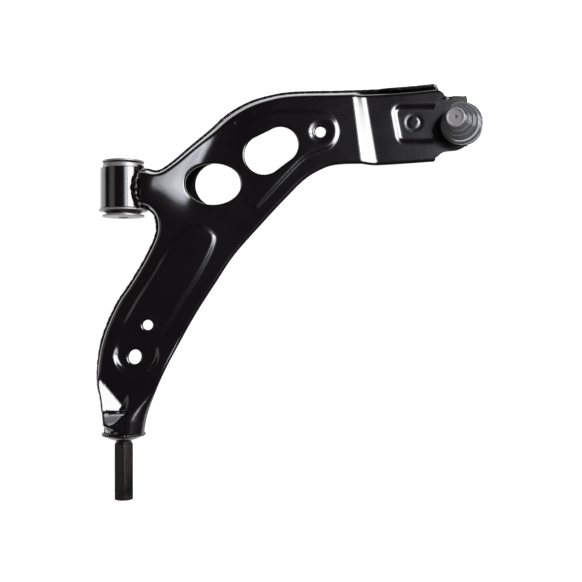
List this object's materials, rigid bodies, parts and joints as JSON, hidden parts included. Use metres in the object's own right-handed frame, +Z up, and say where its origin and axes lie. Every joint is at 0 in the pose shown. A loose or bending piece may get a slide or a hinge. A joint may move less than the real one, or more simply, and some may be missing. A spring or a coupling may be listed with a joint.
{
  "type": "suspension control arm",
  "caption": "Front lower control arm of two welded pressed shells, with a rubber bush in an eye tube, a hexagonal rear pin and a ball joint under a push-on transport cap.",
  "frame": {"origin": "centre of the front bush on its axis", "axes": "+X outboard towards the ball joint, +Y forward along the axis of the bush and the rear pin, +Z up"},
  "size_m": [0.4072, 0.4336, 0.0735],
  "materials": {
    "black_paint": "glossy black dip paint",
    "painted_weld": "weld bead under gloss black paint",
    "zinc_plate": "bright zinc plate",
    "black_rubber": "matt moulded rubber",
    "oiled_steel": "dark oiled drawn steel",
    "dark_steel": "dark phosphated steel",
    "liner_plastic": "moulded acetal",
    "ground_steel": "ground steel",
    "cap_plastic": "translucent grey polyethylene"
  },
  "bodies": {
    "arm": {"upper_shell": "black_paint", "lower_shell": "black_paint", "front_seam_weld": "painted_weld", "inner_seam_weld": "painted_weld", "rear_seam_weld": "painted_weld", "eye_tube": "black_paint", "eye_welds": "painted_weld", "bush_outer_sleeve": "zinc_plate", "bush_rubber": "black_rubber", "rear_pin": "oiled_steel", "pin_collar": "black_paint", "pin_weld": "painted_weld", "joint_housing": "dark_steel", "joint_cover": "dark_steel", "joint_liner": "liner_plastic", "boot_base_ring": "black_rubber", "boot_clamp_ring": "zinc_plate"},
    "bush_core": {"bush_inner_sleeve": "zinc_plate", "bush_front_disc": "zinc_plate", "bush_rear_disc": "zinc_plate"},
    "boot_middle": {"boot_lower_fold": "black_rubber"},
    "boot_top": {"boot_upper_fold": "black_rubber", "boot_neck_clip": "zinc_plate"},
    "stud": {"ball_stud": "ground_steel"},
    "cap": {"transport_cap": "cap_plastic"}
  },
  "joints": [
    {"name": "front_bush_twist", "type": "hinge", "parent": "arm", "child": "bush_core", "pos_m": [0, 0, 0], "axis": [0, 1, 0], "range_deg": [-25, 25], "stiffness_Nm_per_rad": 15},
    {"name": "stud_tilt_travel", "type": "hinge", "parent": "arm", "child": "boot_middle", "pos_m": [0.36, 0.0655, -0.004], "axis": [0, 1, 0], "range_deg": [-10, 50]},
    {"name": "stud_tilt_caster", "type": "hinge", "parent": "boot_middle", "child": "boot_top", "pos_m": [0.36, 0.0655, -0.004], "axis": [0.9397, 0, 0.342], "range_deg": [-15, 15]},
    {"name": "stud_spin", "type": "hinge", "parent": "boot_top", "child": "stud", "pos_m": [0.36, 0.0655, -0.004], "axis": [-0.342, 0, 0.9397], "continuous": true},
    {"name": "cap_pull", "type": "slide", "parent": "stud", "child": "cap", "axis": [-0.342, 0, 0.9397], "range_m": [0, 0.06]}
  ]
}
